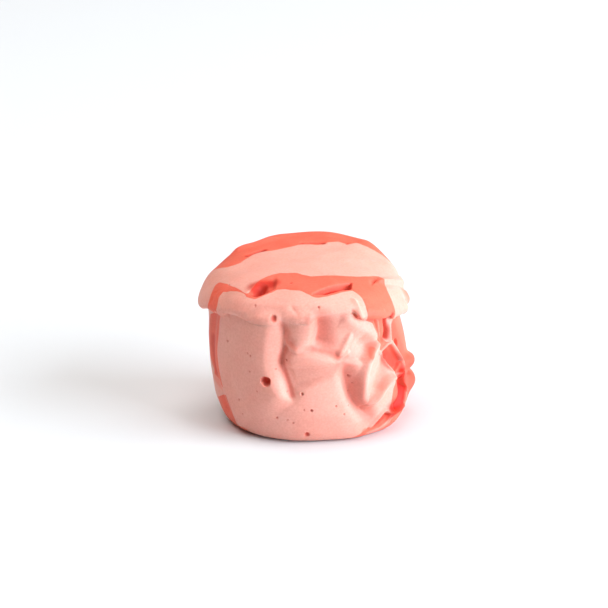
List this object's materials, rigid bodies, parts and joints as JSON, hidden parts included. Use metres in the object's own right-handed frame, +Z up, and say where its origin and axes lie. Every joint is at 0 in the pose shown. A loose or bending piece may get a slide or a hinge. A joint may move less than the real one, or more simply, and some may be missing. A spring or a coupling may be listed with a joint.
{
  "type": "salt water taffy",
  "caption": "One unwrapped chunk of striped pulled taffy, cut from a rope, standing on a cut end, with a smeared cap and wrapper creases.",
  "frame": {"origin": "middle of the box round the chunk, at the height of the cut end that it stands on", "axes": "+Z up from the resting end to the smeared upper cut, -Y towards the side with the widest pale layer edge and the drapery-like folds, +X towards the crumpled side"},
  "size_m": [0.0264, 0.0252, 0.0202],
  "materials": {
    "pale_taffy_front": "soft satin, pulled and aerated sugar, palest pink, full of pin-prick air bubbles",
    "coral_taffy_front": "soft satin, pulled and aerated sugar, coral red",
    "pale_taffy_middle": "soft satin, pulled and aerated sugar, palest pink, smeared smooth by the knife on the upper cut",
    "coral_taffy_back": "soft satin, pulled and aerated sugar, coral red"
  },
  "bodies": {
    "root": {"front_pale_layer": "pale_taffy_front", "front_coral_layer": "coral_taffy_front", "middle_pale_layer": "pale_taffy_middle", "back_coral_layer": "coral_taffy_back"}
  },
  "joints": []
}
